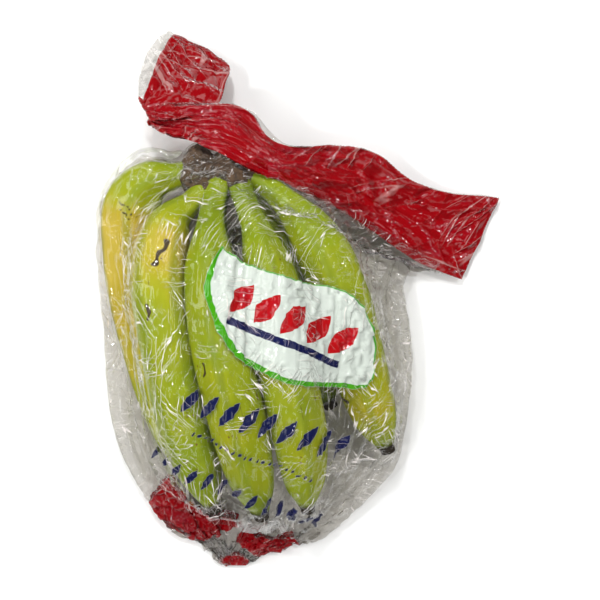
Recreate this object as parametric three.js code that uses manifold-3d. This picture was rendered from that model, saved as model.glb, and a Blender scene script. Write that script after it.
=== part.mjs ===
// A bunch of seven bananas in a clear film bag, lying on its side on a table.
//
// Millimetres, +Z up. The fingers hang from one crown and run along -Y, the bag's mouth is at +Y,
// and the origin is the middle of the footprint, on the surface that the bag rests on.
// Every finger is its own solid, the crown is one solid, and the bag is one thin shell with an open mouth.

import * as THREE from "three";
import { mergeVertices } from "three/addons/utils/BufferGeometryUtils.js";
import Module from "manifold-3d";

const wasm = await Module();
wasm.setup();

// ---- Driving dimensions, in millimetres ----

const FINGER_WIDTH = 39; // a banana's diameter at its thickest
const FINGER_LENGTH = 234; // straight distance from the crown to the furthest tip, about
const STEM_WIDTH = 16; // the stalk between the crown and the shoulder
const TIP_WIDTH = 10; // the blossom end
const RIDGE = 0.035; // how far the five ridges stand out, as a share of the radius
const CROWN_LENGTH = 36; // across the bunch
const CROWN_DEPTH = 26; // along the bunch
const CROWN_HEIGHT = 34; // up
const CROWN_FORWARD = 6.5; // from the middle of the stalks' roots to the block's middle, towards the mouth
const LOBE_OVER_STEM = 1.35; // the crown's lobe over a root, in stem widths
const PIECE_GAP = 0.35; // clearance between neighbouring pieces
const FILM_WALL = 0.8; // the bag's modelled wall
const FILM_CLEARANCE = 2.2; // between the fruit and the inside of the bag
const HEADER_CLEARANCE = 0.7; // the same, where the bag's two layers lie together at the mouth
const MOUTH_OVERRUN = 10; // how far the cavity runs out past the mouth's edge, to open it
const FLAP_THICKNESS = 3.2; // the two film layers of the folded mouth corner, with the air between them

// Facets
const FINGER_SIDES = 10; // five ridges and five flats
const FINGER_RINGS = 19;
const FILM_SPANS = 13; // across the upper and the lower layer of the bag
const DISC_POINTS = 8; // round each point that the film passes over
const TABLE_STATIONS = 13; // of the bag's stations, the ones that rest on the table
const HEADER_STATION = 16; // from this station on, the bag's two layers lie together
const RESTING = FILM_WALL + FILM_CLEARANCE; // a point of the film's inside, where it rests on the table
const RESTING_FROM = 0.2; // where the bag's flat underside starts and ends, as shares of its width
const RESTING_TO = 0.8;

// ---- Places ----
// A place is [across, along, up]: across and up in finger widths, along in finger lengths, from the crown.
// So thicker fingers move apart, and longer ones reach further, without a new path.
// neck is how long a finger's stalk and neck are, as a share of the usual, where it is set.

const FINGERS = [
  {
    name: "banana_1", // outermost on the left, resting on the table
    neck: 0.55,
    path: [
      [-0.3, -0.01, 1.17], [-0.7, -0.03, 1.22], [-1.15, -0.05, 1.19], [-1.49, -0.12, 1.08],
      [-1.52, -0.23, 0.94], [-1.43, -0.38, 0.81], [-1.22, -0.53, 0.67], [-0.93, -0.69, 0.6],
      [-0.62, -0.83, 0.61], [-0.3, -0.96, 0.67],
    ],
  },
  {
    name: "banana_2", // upper layer, left
    neck: 0.65,
    path: [
      [-0.15, -0.06, 1.33], [-0.41, -0.11, 1.44], [-0.74, -0.16, 1.56], [-0.93, -0.25, 1.68],
      [-0.94, -0.37, 1.74], [-0.82, -0.51, 1.7], [-0.65, -0.66, 1.61], [-0.45, -0.8, 1.44],
      [-0.2, -0.94, 1.22], [-0.02, -1.02, 1.08],
    ],
  },
  {
    name: "banana_3", // upper layer, middle
    path: [
      [0.08, -0.03, 1.39], [-0.02, -0.12, 1.56], [-0.06, -0.22, 1.81], [-0.02, -0.34, 1.97],
      [0.09, -0.48, 2.03], [0.25, -0.62, 1.97], [0.46, -0.77, 1.78], [0.67, -0.93, 1.42],
      [0.82, -1.04, 1.14],
    ],
  },
  {
    name: "banana_4", // upper layer, right
    path: [
      [0.37, -0.04, 1.36], [0.55, -0.12, 1.5], [0.77, -0.22, 1.69], [0.98, -0.35, 1.83],
      [1.12, -0.48, 1.89], [1.28, -0.62, 1.83], [1.45, -0.77, 1.64], [1.55, -0.91, 1.36],
      [1.63, -1.02, 1.08],
    ],
  },
  {
    name: "banana_5", // outermost on the right
    path: [
      [0.56, -0.02, 1.22], [0.89, -0.06, 1.28], [1.36, -0.13, 1.33], [1.84, -0.24, 1.36],
      [2.17, -0.37, 1.3], [2.4, -0.5, 1.18], [2.61, -0.63, 1.04], [2.84, -0.75, 0.89],
      [3.08, -0.85, 0.75],
    ],
  },
  {
    name: "banana_6", // lower layer, right, the short one
    path: [
      [0.39, -0.05, 1.06], [0.64, -0.11, 0.86], [0.92, -0.22, 0.67], [1.23, -0.37, 0.6],
      [1.52, -0.52, 0.6], [1.81, -0.64, 0.61], [2.06, -0.72, 0.64],
    ],
  },
  {
    name: "banana_7", // lower layer, middle
    path: [
      [0.08, -0.05, 1.03], [-0.04, -0.13, 0.83], [-0.09, -0.25, 0.64], [0.05, -0.43, 0.6],
      [0.29, -0.61, 0.6], [0.59, -0.77, 0.61], [0.84, -0.9, 0.64],
    ],
  },
];

// How thick a finger is, as [share of its length, radius]: a stalk, a neck, a body and a tip.
const FINGER_PROFILE = [
  [0, STEM_WIDTH / 2],
  [0.1, STEM_WIDTH / 2],
  [0.16, STEM_WIDTH * 0.6],
  [0.26, FINGER_WIDTH * 0.43],
  [0.38, FINGER_WIDTH * 0.495],
  [0.55, FINGER_WIDTH * 0.5],
  [0.72, FINGER_WIDTH * 0.485],
  [0.84, FINGER_WIDTH * 0.43],
  [0.92, FINGER_WIDTH * 0.31],
  [0.965, TIP_WIDTH * 0.62],
  [1, TIP_WIDTH / 2],
];

// The bag's outline from above: its left and right edge at each station, from the gathered foot to
// the mouth, and how far the line between them bows towards the mouth, in finger lengths.
const FILM_STATIONS = [
  [[0.17, -1.21, 0.1], [0.5, -1.21, 0.1], 0], // foot
  [[-0.29, -1.14, 0.13], [0.8, -1.17, 0.13], 0],
  [[-0.82, -1.12, 0.15], [1.5, -1.14, 0.15], 0],
  [[-1.07, -1.08, 0.18], [1.9, -1.13, 0.21], 0],
  [[-1.29, -1.01, 0.21], [2.32, -1.06, 0.26], 0],
  [[-1.54, -0.94, 0.26], [2.68, -1.0, 0.31], 0],
  [[-1.75, -0.87, 0.33], [3.03, -0.94, 0.38], 0],
  [[-1.92, -0.77, 0.41], [3.29, -0.87, 0.46], 0],
  [[-2.0, -0.67, 0.49], [3.42, -0.77, 0.51], 0],
  [[-2.03, -0.55, 0.56], [3.51, -0.67, 0.51], 0],
  [[-2.05, -0.41, 0.72], [3.53, -0.57, 0.49], 0],
  [[-2.08, -0.28, 0.85], [3.48, -0.48, 0.46], 0],
  [[-2.07, -0.17, 0.97], [3.41, -0.4, 0.44], 0],
  [[-1.98, -0.08, 1.08], [3.43, -0.345, 0.41], 0],
  [[-1.6, 0.03, 1.15], [3.54, -0.29, 0.38], 0],
  [[-0.66, 0.04, 1.21], [3.59, -0.28, 0.36], 0.02],
  [[-0.5, 0.05, 1.23], [3.71, -0.28, 0.33], 0.04], // header starts, with the two layers together
  [[-1.02, 0.1, 1.15], [4.06, -0.305, 0.28], 0.06],
  [[-1.32, 0.17, 1.08], [4.45, -0.335, 0.21], 0.07],
  [[-0.63, 0.185, 1.08], [4.87, -0.21, 0.21], 0],
  [[0.07, 0.195, 1.03], [5.16, -0.08, 0.21], -0.045], // mouth
];

// The mouth's left corner, folded over and hanging down to the table: left and right edge at each row.
const FLAP_ROWS = [
  [[-1.15, 0.15, 1.08], [-0.05, 0.16, 1.08]],
  [[-1.43, 0.23, 0.77], [0.1, 0.24, 0.77]],
  [[-1.32, 0.34, 0.41], [0.19, 0.31, 0.41]],
  [[-1.12, 0.405, 0.21], [-0.28, 0.375, 0.21]],
  [[-0.93, 0.43, 0.15], [-0.71, 0.42, 0.15]],
];

// ---- Helpers ----

const place = ([across, along, up]) =>
  new THREE.Vector3(across * FINGER_WIDTH, along * FINGER_LENGTH, up * FINGER_WIDTH);

// The value at x on a polyline of [x, value] points.
function along(profile, x) {
  const next = profile.findIndex(([at]) => at >= x);
  if (next <= 0) return profile[0][1];
  const [x0, y0] = profile[next - 1];
  const [x1, y1] = profile[next];
  return y0 + ((y1 - y0) * (x - x0)) / (x1 - x0);
}

// A closed solid through rings of points, all with the same count, with a fan over each end.
function loft(rings) {
  const count = rings[0].length;
  const centre = (ring) =>
    ring.reduce((sum, p) => sum.add(p), new THREE.Vector3()).divideScalar(count);
  const points = [...rings.flat(), centre(rings[0]), centre(rings.at(-1))];
  const first = rings.length * count;
  const faces = [];
  for (let i = 0; i < rings.length - 1; i++)
    for (let j = 0; j < count; j++) {
      const a = i * count + j;
      const b = i * count + ((j + 1) % count);
      faces.push(a, b, b + count, a, b + count, a + count);
    }
  for (let j = 0; j < count; j++) {
    const next = (j + 1) % count;
    const top = (rings.length - 1) * count;
    faces.push(first, next, j);
    faces.push(first + 1, top + j, top + next);
  }
  return solidOf(new Float32Array(points.flatMap((p) => p.toArray())), faces);
}

// A manifold-3d solid with its faces pointing out.
function solidOf(vertProperties, faces) {
  const build = (triVerts) => new wasm.Manifold(new wasm.Mesh({ numProp: 3, vertProperties, triVerts }));
  const made = build(new Uint32Array(faces));
  return made.volume() > 0 ? made : build(new Uint32Array(faces).reverse());
}

// An ellipsoid, as a solid.
function ellipsoid(middle, length, depth, height) {
  const ball = new THREE.SphereGeometry(0.5, 9, 6);
  ball.scale(length, depth, height).translate(middle.x, middle.y, middle.z);
  ball.deleteAttribute("normal").deleteAttribute("uv");
  const merged = mergeVertices(ball, 1e-3);
  return solidOf(merged.attributes.position.array, [...merged.index.array]);
}

function geometryOf(solid) {
  const mesh = solid.getMesh();
  const geometry = new THREE.BufferGeometry();
  geometry.setAttribute("position", new THREE.BufferAttribute(mesh.vertProperties, 3));
  geometry.setIndex(new THREE.BufferAttribute(mesh.triVerts, 1));
  geometry.computeVertexNormals();
  return geometry;
}

// The edges of a solid, as pairs of points.
function edgesOf(solid) {
  const { vertProperties: v, triVerts } = solid.getMesh();
  const corner = (i) => new THREE.Vector3(v[3 * i], v[3 * i + 1], v[3 * i + 2]);
  const edges = [];
  for (let i = 0; i < triVerts.length; i += 3) {
    const [a, b, c] = triVerts.subarray(i, i + 3);
    const sides = [[a, b], [b, c], [c, a]].filter(([from, to]) => from < to);
    sides.forEach(([from, to]) => edges.push([corner(from), corner(to)]));
  }
  return edges;
}

// ---- Fruit ----

// A finger is a five-ridged section carried along its path. grow makes it fatter all round.
function finger({ path, neck = 1 }, grow = 0) {
  const curve = new THREE.CatmullRomCurve3(path.map(place));
  const frames = curve.computeFrenetFrames(FINGER_RINGS - 1, false);
  const rings = [];
  for (let i = 0; i < FINGER_RINGS; i++) {
    const share = i / (FINGER_RINGS - 1);
    const middle = curve.getPointAt(share);
    const radius = along(FINGER_PROFILE, share < 0.5 ? Math.min(share / neck, 0.5) : share);
    const ring = [];
    for (let j = 0; j < FINGER_SIDES; j++) {
      const angle = (2 * Math.PI * j) / FINGER_SIDES;
      const reach = radius * (1 + RIDGE * Math.cos(5 * angle)) + grow;
      ring.push(
        middle
          .clone()
          .addScaledVector(frames.normals[i], reach * Math.cos(angle))
          .addScaledVector(frames.binormals[i], reach * Math.sin(angle)),
      );
    }
    rings.push(ring);
  }
  return loft(rings);
}

// The crown is a block with a lobe over the root of each stalk. grow is as for a finger.
function crown(grow = 0) {
  const roots = FINGERS.map(({ path }) => place(path[0]));
  const middle = roots.reduce((sum, p) => sum.add(p), new THREE.Vector3()).divideScalar(roots.length);
  middle.y += CROWN_FORWARD;
  const twice = 2 * grow;
  let solid = ellipsoid(middle, CROWN_LENGTH + twice, CROWN_DEPTH + twice, CROWN_HEIGHT + twice);
  for (const { path } of FINGERS) {
    const root = place(path[0]);
    const lobe = STEM_WIDTH * LOBE_OVER_STEM + twice;
    solid = solid.add(ellipsoid(root, lobe, lobe, lobe));
  }
  return solid;
}

// Fingers press on their neighbours: each is cut back by the crown and by the fingers before it, with a gap.
// A sliver that a cut leaves on the far side is dropped.
function bunch() {
  let taken = crown(PIECE_GAP);
  const solids = [];
  for (const spec of FINGERS) {
    const pieces = finger(spec).subtract(taken).decompose();
    pieces.sort((a, b) => b.volume() - a.volume());
    solids.push({ name: spec.name, solid: pieces[0] });
    taken = taken.add(finger(spec, PIECE_GAP));
  }
  return solids;
}

// ---- Film ----

// The upper and lower side of the convex hull of [q, z] points, each from the lowest q to the highest.
function hullSides(points) {
  const sorted = [...points].sort((a, b) => a[0] - b[0] || a[1] - b[1]);
  const side = (turn) => {
    const chain = [];
    for (const p of sorted) {
      while (chain.length > 1) {
        const [a, b] = chain.slice(-2);
        const cross = (b[0] - a[0]) * (p[1] - a[1]) - (b[1] - a[1]) * (p[0] - a[0]);
        if (turn * cross > 0) break;
        chain.pop();
      }
      chain.push(p);
    }
    return chain;
  };
  return { lower: side(1), upper: side(-1) };
}

// The part of a fruit edge between the vertical planes of two stations, or nothing.
function between(before, after, [a, b]) {
  const ahead = ([left, right], p) =>
    (right.x - left.x) * (p.y - left.y) - (right.y - left.y) * (p.x - left.x);
  let [from, to] = [0, 1];
  for (const [plane, sign] of [[before, 1], [after, -1]]) {
    const [da, db] = [sign * ahead(plane, a), sign * ahead(plane, b)];
    if (da < 0 && db < 0) return [];
    if (da < 0) from = Math.max(from, da / (da - db));
    if (db < 0) to = Math.min(to, da / (da - db));
  }
  return from > to ? [] : [a.clone().lerp(b, from), a.clone().lerp(b, to)];
}

// The height at q of a straight-sided line that runs outside a hull side (sign 1 above it, -1 below):
// every span lies along the tangent at its middle, or further out.
function outside(side, knots, i, sign) {
  const tangent = (q0, q1) => {
    const middle = (q0 + q1) / 2;
    const next = Math.max(side.findIndex(([q]) => q >= middle), 1);
    const [[x0, z0], [x1, z1]] = [side[next - 1], side[next]];
    return z0 + ((z1 - z0) * (knots[i] - x0)) / (x1 - x0);
  };
  const heights = [];
  if (i > 0) heights.push(sign * tangent(knots[i - 1], knots[i]));
  if (i < knots.length - 1) heights.push(sign * tangent(knots[i], knots[i + 1]));
  return sign * Math.max(...heights);
}

// One section of the film, as [q, z] points round it: the taut line round the fruit near a station,
// the bag's edges and its rest on the table.
function sectionRound(planes, k, edges) {
  const [left, right] = planes[k];
  const across = right.clone().sub(left).setZ(0);
  const width = across.length();
  across.normalize();
  const grow = k < HEADER_STATION ? FILM_CLEARANCE : HEADER_CLEARANCE;
  const inset = grow + FILM_WALL;
  const before = planes[Math.max(k - 1, 0)];
  const after = planes[Math.min(k + 1, planes.length - 1)];
  const near = edges.flatMap((edge) => between(before, after, edge));
  const passed = near.map((p) => [p.clone().sub(left).dot(across), p.z]);
  passed.push([inset, left.z], [width - inset, right.z]);
  if (k < TABLE_STATIONS) passed.push([RESTING_FROM * width, RESTING], [RESTING_TO * width, RESTING]);
  const corner = grow / Math.cos(Math.PI / DISC_POINTS); // the disc's flats are grow from its middle
  const discs = passed.flatMap(([q, z]) =>
    Array.from({ length: DISC_POINTS }, (_, i) => {
      const angle = (2 * Math.PI * (i + 0.5)) / DISC_POINTS;
      return [q + corner * Math.cos(angle), Math.max(z + corner * Math.sin(angle), FILM_WALL)];
    }),
  );
  const { lower, upper } = hullSides(discs);
  const [low, high] = [lower[0][0], lower.at(-1)[0]];
  const knots = Array.from({ length: FILM_SPANS + 1 }, (_, i) => {
    return low + (high - low) * (0.5 - 0.5 * Math.cos((Math.PI * i) / FILM_SPANS));
  });
  const under = knots.map((q, i) => [q, Math.max(outside(lower, knots, i, -1), FILM_WALL)]);
  const over = knots.map((q, i) => [q, outside(upper, knots, i, 1)]);
  return [...under, ...over.reverse()];
}

// A closed line moved outwards by the film's wall, and no lower than the table. Its points run anticlockwise.
function movedOut(line) {
  return line.map((p, i) => {
    const [a, b] = [line.at(i - 1), line[(i + 1) % line.length]];
    const normal = (from, to) => {
      const size = Math.hypot(to[0] - from[0], to[1] - from[1]);
      return [(to[1] - from[1]) / size, (from[0] - to[0]) / size];
    };
    const [n, m] = [normal(a, p), normal(p, b)];
    const reach = FILM_WALL / Math.max(1 + n[0] * m[0] + n[1] * m[1], 0.5);
    return [p[0] + (n[0] + m[0]) * reach, Math.max(p[1] + (n[1] + m[1]) * reach, 0)];
  });
}

// A [q, z] line set up on a station's plane, bowed towards the mouth, as points in space.
function onPlane([left, right], bow, line) {
  const across = right.clone().sub(left).setZ(0);
  const width = across.length();
  across.normalize();
  const forward = new THREE.Vector3(-across.y, across.x, 0);
  return line.map(([q, z]) => {
    const share = THREE.MathUtils.clamp(q / width, 0, 1);
    const reach = 4 * share * (1 - share) * bow * FINGER_LENGTH;
    const point = left.clone().addScaledVector(across, q).addScaledVector(forward, reach);
    return point.setZ(z);
  });
}

// A shell as thick as the film: the outer loft, less the inner one, which runs out through the mouth.
// Where a finger stands out of the loft, the film bulges over it.
function bag(edges) {
  const planes = FILM_STATIONS.map(([left, right]) => [place(left), place(right)]);
  const bows = FILM_STATIONS.map(([, , bow]) => bow);
  const lines = planes.map((_, k) => sectionRound(planes, k, edges));
  const outer = lines.map((line, k) => onPlane(planes[k], bows[k], movedOut(line)));
  const inner = lines.map((line, k) => onPlane(planes[k], bows[k], line)).slice(1);
  const [left, right] = planes.at(-1);
  const out = new THREE.Vector3(left.y - right.y, right.x - left.x, 0).setLength(MOUTH_OVERRUN);
  inner.push(inner.at(-1).map((p) => p.clone().add(out)));
  const bulge = (grow) => FINGERS.reduce((sum, spec) => sum.add(finger(spec, grow)), crown(grow));
  const skin = loft(outer).add(bulge(PIECE_GAP + FILM_WALL)).add(mouthCorner());
  return skin.subtract(loft(inner).add(bulge(PIECE_GAP)));
}

// The folded corner is a flat double layer, as one slab.
function mouthCorner() {
  const half = new THREE.Vector3(0, 0, FLAP_THICKNESS / 2);
  return loft(
    FLAP_ROWS.map((row) => {
      const [left, right] = row.map(place);
      return [left.clone().sub(half), right.clone().sub(half), right.add(half), left.add(half)];
    }),
  );
}

// ---- The object ----

const banana = new THREE.MeshStandardMaterial({ color: 0xa9b52a, roughness: 0.45, metalness: 0 });
const woody = new THREE.MeshStandardMaterial({ color: 0x6e5a44, roughness: 0.85, metalness: 0 });
const film = new THREE.MeshStandardMaterial({
  color: 0xe6e8e6,
  roughness: 0.12,
  metalness: 0,
  transparent: true,
  opacity: 0.3,
});

function piece(name, solid, material) {
  const mesh = new THREE.Mesh(geometryOf(solid), material);
  mesh.name = name;
  return mesh;
}

const bananas = bunch();
const crownSolid = crown();
const edges = [...bananas.map(({ solid }) => solid), crownSolid].flatMap(edgesOf);

const object = new THREE.Group();
object.add(piece("crown", crownSolid, woody));
bananas.forEach(({ name, solid }) => object.add(piece(name, solid, banana)));
object.add(piece("bag", bag(edges), film));

// The origin goes to the middle of the footprint, on the table.
const box = new THREE.Box3().setFromObject(object, true);
object.position.set(-(box.min.x + box.max.x) / 2, -(box.min.y + box.max.y) / 2, -box.min.z);

export default object;
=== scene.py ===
"""A bunch of seven bananas in a clear film bag with a red band at its mouth and its foot.

Places are worked out in millimetres from the crown, with X across the bunch, +Y towards the bag's mouth
and Z up from the table, and are moved into the frame, in metres, when a mesh is made.
"""

import math

import bpy
import numpy as np
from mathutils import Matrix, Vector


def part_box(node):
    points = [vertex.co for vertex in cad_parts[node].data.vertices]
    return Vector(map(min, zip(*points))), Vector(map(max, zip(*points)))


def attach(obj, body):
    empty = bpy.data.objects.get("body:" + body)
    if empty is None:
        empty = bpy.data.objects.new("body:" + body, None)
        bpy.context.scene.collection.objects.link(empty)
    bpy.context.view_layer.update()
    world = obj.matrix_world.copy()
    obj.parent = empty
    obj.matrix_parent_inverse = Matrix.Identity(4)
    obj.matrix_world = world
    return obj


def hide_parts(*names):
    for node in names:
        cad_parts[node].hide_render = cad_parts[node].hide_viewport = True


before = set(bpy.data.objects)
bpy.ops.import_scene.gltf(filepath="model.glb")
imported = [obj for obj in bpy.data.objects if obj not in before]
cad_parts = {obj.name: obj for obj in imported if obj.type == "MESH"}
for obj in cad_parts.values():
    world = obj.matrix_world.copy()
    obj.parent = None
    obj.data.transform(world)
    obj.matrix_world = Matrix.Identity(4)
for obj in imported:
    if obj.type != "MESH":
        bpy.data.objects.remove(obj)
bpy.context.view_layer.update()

MM = 0.001

# ---- Driving sizes, in millimetres ----

FINGER_WIDTH = 39.0  # a banana's diameter at its thickest
FINGER_LENGTH = 234.0
STEM_WIDTH = 16.0
TIP_WIDTH = 10.0
FILM_AROUND = 580.0  # the tube of film, once round: 290 mm wide when laid flat
FILM_CLEARANCE = 0.7  # from the peel's ridges to the film
BAND_WIDTH = 62.0  # of the red print at the mouth
TABLE_LIFT = 0.5  # the lowest film, above the table

# The frame's origin is the middle of the footprint, so the crown's own box says where the crown's origin is.
CROWN_BOX_MIDDLE = np.array([4.7, -7.0])
crown_low, crown_high = (np.array(corner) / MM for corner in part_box("crown"))
SHIFT = np.append((crown_low + crown_high)[:2] / 2 - CROWN_BOX_MIDDLE, 0.0)

# ---- Camera: straight above the bag ----

CAMERA_HEIGHT = 1.09
VIEW_MIDDLE = (0.0006, -0.0014)  # of the table, in metres
VIEW_WIDTH = 0.432  # the stretch of table that fills the view

camera_data = bpy.data.cameras.new("camera")
camera_data.sensor_width = 36.0
camera_data.lens = 36.0 * CAMERA_HEIGHT / VIEW_WIDTH
camera = bpy.data.objects.new("camera", camera_data)
camera.location = (*VIEW_MIDDLE, CAMERA_HEIGHT)
bpy.context.collection.objects.link(camera)
bpy.context.scene.camera = camera

# ---- Places: [across in finger widths, along in finger lengths, up in finger widths] ----

FINGERS = {
    "banana_1": [
        [-0.3, -0.01, 1.17], [-0.7, -0.03, 1.22], [-1.15, -0.05, 1.19], [-1.49, -0.12, 1.08],
        [-1.52, -0.23, 0.94], [-1.43, -0.38, 0.81], [-1.22, -0.53, 0.67], [-0.93, -0.69, 0.6],
        [-0.62, -0.83, 0.61], [-0.3, -0.96, 0.67],
    ],
    "banana_2": [
        [-0.15, -0.06, 1.33], [-0.41, -0.11, 1.44], [-0.74, -0.16, 1.56], [-0.93, -0.25, 1.68],
        [-0.94, -0.37, 1.74], [-0.82, -0.51, 1.7], [-0.65, -0.66, 1.61], [-0.45, -0.8, 1.44],
        [-0.2, -0.94, 1.22], [-0.02, -1.02, 1.08],
    ],
    "banana_3": [
        [0.08, -0.03, 1.39], [-0.02, -0.12, 1.56], [-0.06, -0.22, 1.81], [-0.02, -0.34, 1.97],
        [0.09, -0.48, 2.03], [0.25, -0.62, 1.97], [0.46, -0.77, 1.78], [0.67, -0.93, 1.42],
        [0.82, -1.04, 1.14],
    ],
    "banana_4": [
        [0.37, -0.04, 1.36], [0.55, -0.12, 1.5], [0.77, -0.22, 1.69], [0.98, -0.35, 1.83],
        [1.12, -0.48, 1.89], [1.28, -0.62, 1.83], [1.45, -0.77, 1.64], [1.55, -0.91, 1.36],
        [1.63, -1.02, 1.08],
    ],
    "banana_5": [
        [0.56, -0.02, 1.22], [0.89, -0.06, 1.28], [1.36, -0.13, 1.33], [1.84, -0.24, 1.36],
        [2.17, -0.37, 1.3], [2.4, -0.5, 1.18], [2.61, -0.63, 1.04], [2.84, -0.75, 0.89],
        [3.08, -0.85, 0.75],
    ],
    "banana_6": [
        [0.39, -0.05, 1.06], [0.64, -0.11, 0.86], [0.92, -0.22, 0.67], [1.23, -0.37, 0.6],
        [1.52, -0.52, 0.6], [1.81, -0.64, 0.61], [2.06, -0.72, 0.64],
    ],
    "banana_7": [
        [0.08, -0.05, 1.03], [-0.04, -0.13, 0.83], [-0.09, -0.25, 0.64], [0.05, -0.43, 0.6],
        [0.29, -0.61, 0.6], [0.59, -0.77, 0.61], [0.84, -0.9, 0.64],
    ],
}

NECKS = {"banana_1": 0.55, "banana_2": 0.65}  # the length of the stalk and neck, where it isn't the usual

# [share of a finger's length, radius in mm]
FINGER_PROFILE = [
    [0, STEM_WIDTH / 2], [0.1, STEM_WIDTH / 2], [0.16, STEM_WIDTH * 0.6], [0.26, FINGER_WIDTH * 0.43],
    [0.38, FINGER_WIDTH * 0.495], [0.55, FINGER_WIDTH * 0.5], [0.72, FINGER_WIDTH * 0.485],
    [0.84, FINGER_WIDTH * 0.43], [0.92, FINGER_WIDTH * 0.31], [0.965, TIP_WIDTH * 0.62], [1, TIP_WIDTH / 2],
]

# The bag's left and right edge at each station from its foot to the band, and the line's bow towards the mouth.
FILM_STATIONS = [
    [[0.17, -1.21, 0.1], [0.5, -1.21, 0.1], 0],
    [[-0.29, -1.14, 0.13], [0.8, -1.17, 0.13], 0],
    [[-0.82, -1.12, 0.15], [1.5, -1.14, 0.15], 0],
    [[-1.07, -1.08, 0.18], [1.9, -1.13, 0.21], 0],
    [[-1.29, -1.01, 0.21], [2.32, -1.06, 0.26], 0],
    [[-1.54, -0.94, 0.26], [2.68, -1.0, 0.31], 0],
    [[-1.75, -0.87, 0.33], [3.03, -0.94, 0.38], 0],
    [[-1.92, -0.77, 0.41], [3.29, -0.87, 0.46], 0],
    [[-2.0, -0.67, 0.49], [3.42, -0.77, 0.51], 0],
    [[-2.03, -0.55, 0.56], [3.51, -0.67, 0.51], 0],
    [[-2.05, -0.41, 0.72], [3.53, -0.57, 0.49], 0],
    [[-2.08, -0.28, 0.85], [3.48, -0.48, 0.46], 0],
    [[-2.07, -0.17, 0.97], [3.41, -0.4, 0.44], 0],
    [[-1.98, -0.08, 1.08], [3.43, -0.345, 0.41], 0],
    [[-1.6, -0.01, 1.15], [3.54, -0.29, 0.38], 0],
    [[-1.12, 0.025, 1.15], [3.72, -0.3, 0.33], 0],
    [[-0.6, 0.02, 1.25], [3.98, -0.315, 0.28], 0],
]
TABLE_STATIONS = 13  # of these, the ones that rest on the table

# The flattened mouth, as lines across it: its edge on the bag's side, then its free edge, in mm from the crown.
# It runs from the right end over the crown to a fold, and the folded corner turns back up and away.
BAND_LINES = [
    [(174, -78, 7), (201, -19, 7)],
    [(158, -72, 10), (192, -18, 9)],
    [(139, -64, 14), (165, -16, 12)],
    [(108, -43, 22), (138, -8, 18)],
    [(83, -28, 32), (111, 11, 26)],
    [(58, -17, 48), (81, 15, 38)],
    [(24, -4, 64), (48, 14, 52)],
    [(-6, 12, 66), (17, 40, 52)],
    [(-38, 23, 50), (-40, 42, 46)],
    [(-45, 31, 48), (-51, 41, 44)],
    [(-29, 29, 56), (-54, 52, 40)],
    [(-1, 41, 46), (-54, 65, 30)],
    [(6, 59, 30), (-51, 81, 18)],
    [(7, 74, 14), (-44, 94, 9)],
    [(-13, 88, 6), (-36, 100, 5)],
]


# ---- Numbers ----


def place(points):
    """Places in finger widths and lengths, as millimetres."""
    return np.asarray(points, float) * [FINGER_WIDTH, FINGER_LENGTH, FINGER_WIDTH]


def through(points, at):
    """A Catmull-Rom curve through the points, at parameters from 0 to their number less one."""
    points = np.asarray(points, float)
    padded = np.concatenate([2 * points[:1] - points[1:2], points, 2 * points[-1:] - points[-2:-1]])
    start = np.clip(np.floor(at).astype(int), 0, len(points) - 2)
    t = (at - start).reshape((-1,) + (1,) * (points.ndim - 1))
    a, b, c, d = (padded[start + step] for step in range(4))
    return 0.5 * (2 * b + (c - a) * t + (2 * a - 5 * b + 4 * c - d) * t**2 + (3 * b - a - 3 * c + d) * t**3)


def evenly(line, count):
    """count points at equal spacing along a polyline."""
    line = np.asarray(line, float)
    run = np.append(0, np.cumsum(np.linalg.norm(np.diff(line, axis=0), axis=1)))
    at = np.linspace(0, run[-1], count)
    return np.stack([np.interp(at, run, column) for column in line.T], axis=1)


def spline(points, count):
    """count points at equal spacing along the Catmull-Rom curve through the points."""
    return evenly(through(points, np.linspace(0, len(points) - 1, 30 * len(points))), count)


def unit(vectors):
    return vectors / np.maximum(np.linalg.norm(vectors, axis=-1, keepdims=True), 1e-9)


def ripple(points, size, seed, waves=16):
    """Smooth noise of about -1 to 1: a sum of plane waves in random directions, their lengths near size."""
    random = np.random.default_rng(seed)
    across = unit(random.normal(size=(waves, points.shape[-1])))
    pitch = 2 * np.pi / (size * random.uniform(0.6, 1.7, waves))
    phase = random.uniform(0, 2 * np.pi, waves)
    return np.sin(points @ (across * pitch[:, None]).T + phase).sum(-1) / math.sqrt(waves)


def crease(points, size, seed, sharp=3.0):
    """Ridges of 0 to 1 along the lines where a smooth noise is zero: one less its size, raised to a power."""
    return np.clip(1 - np.abs(ripple(points, size, seed)), 0, 1) ** sharp


def blur(values, width):
    """A running mean of each column, over width samples, with the ends held."""
    kernel = np.ones(width) / width
    padded = np.pad(values, (width // 2, width - 1 - width // 2), mode="edge")
    return np.convolve(padded, kernel, mode="valid")


# ---- Meshes ----


def mesh_object(name, points, faces, material, smooth=True):
    """A mesh in the frame, from points in mm from the crown, riding on the root body."""
    mesh = bpy.data.meshes.new(name)
    mesh.from_pydata(((points + SHIFT) * MM).tolist(), [], faces)
    mesh.polygons.foreach_set("use_smooth", np.full(len(mesh.polygons), smooth))
    mesh.materials.append(material)
    made = bpy.data.objects.new(name, mesh)
    bpy.context.collection.objects.link(made)
    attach(made, "root")
    return made


def grid_faces(rows, columns, closed):
    """The quads of a grid of rows by columns, its last column joined to its first if closed."""
    r = np.arange(rows - 1)[:, None] * columns
    c = np.arange(columns if closed else columns - 1)[None, :]
    n = (c + 1) % columns
    return np.stack([r + c, r + n, r + n + columns, r + c + columns], axis=-1).reshape(-1, 4)


def attribute(made, name, values):
    """A number, or a vector of three, on each vertex."""
    values = np.ascontiguousarray(values, dtype=np.float32)
    is_vector = values.ndim > 1
    layer = made.data.attributes.new(name, "FLOAT_VECTOR" if is_vector else "FLOAT", "POINT")
    layer.data.foreach_set("vector" if is_vector else "value", values.ravel())


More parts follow.
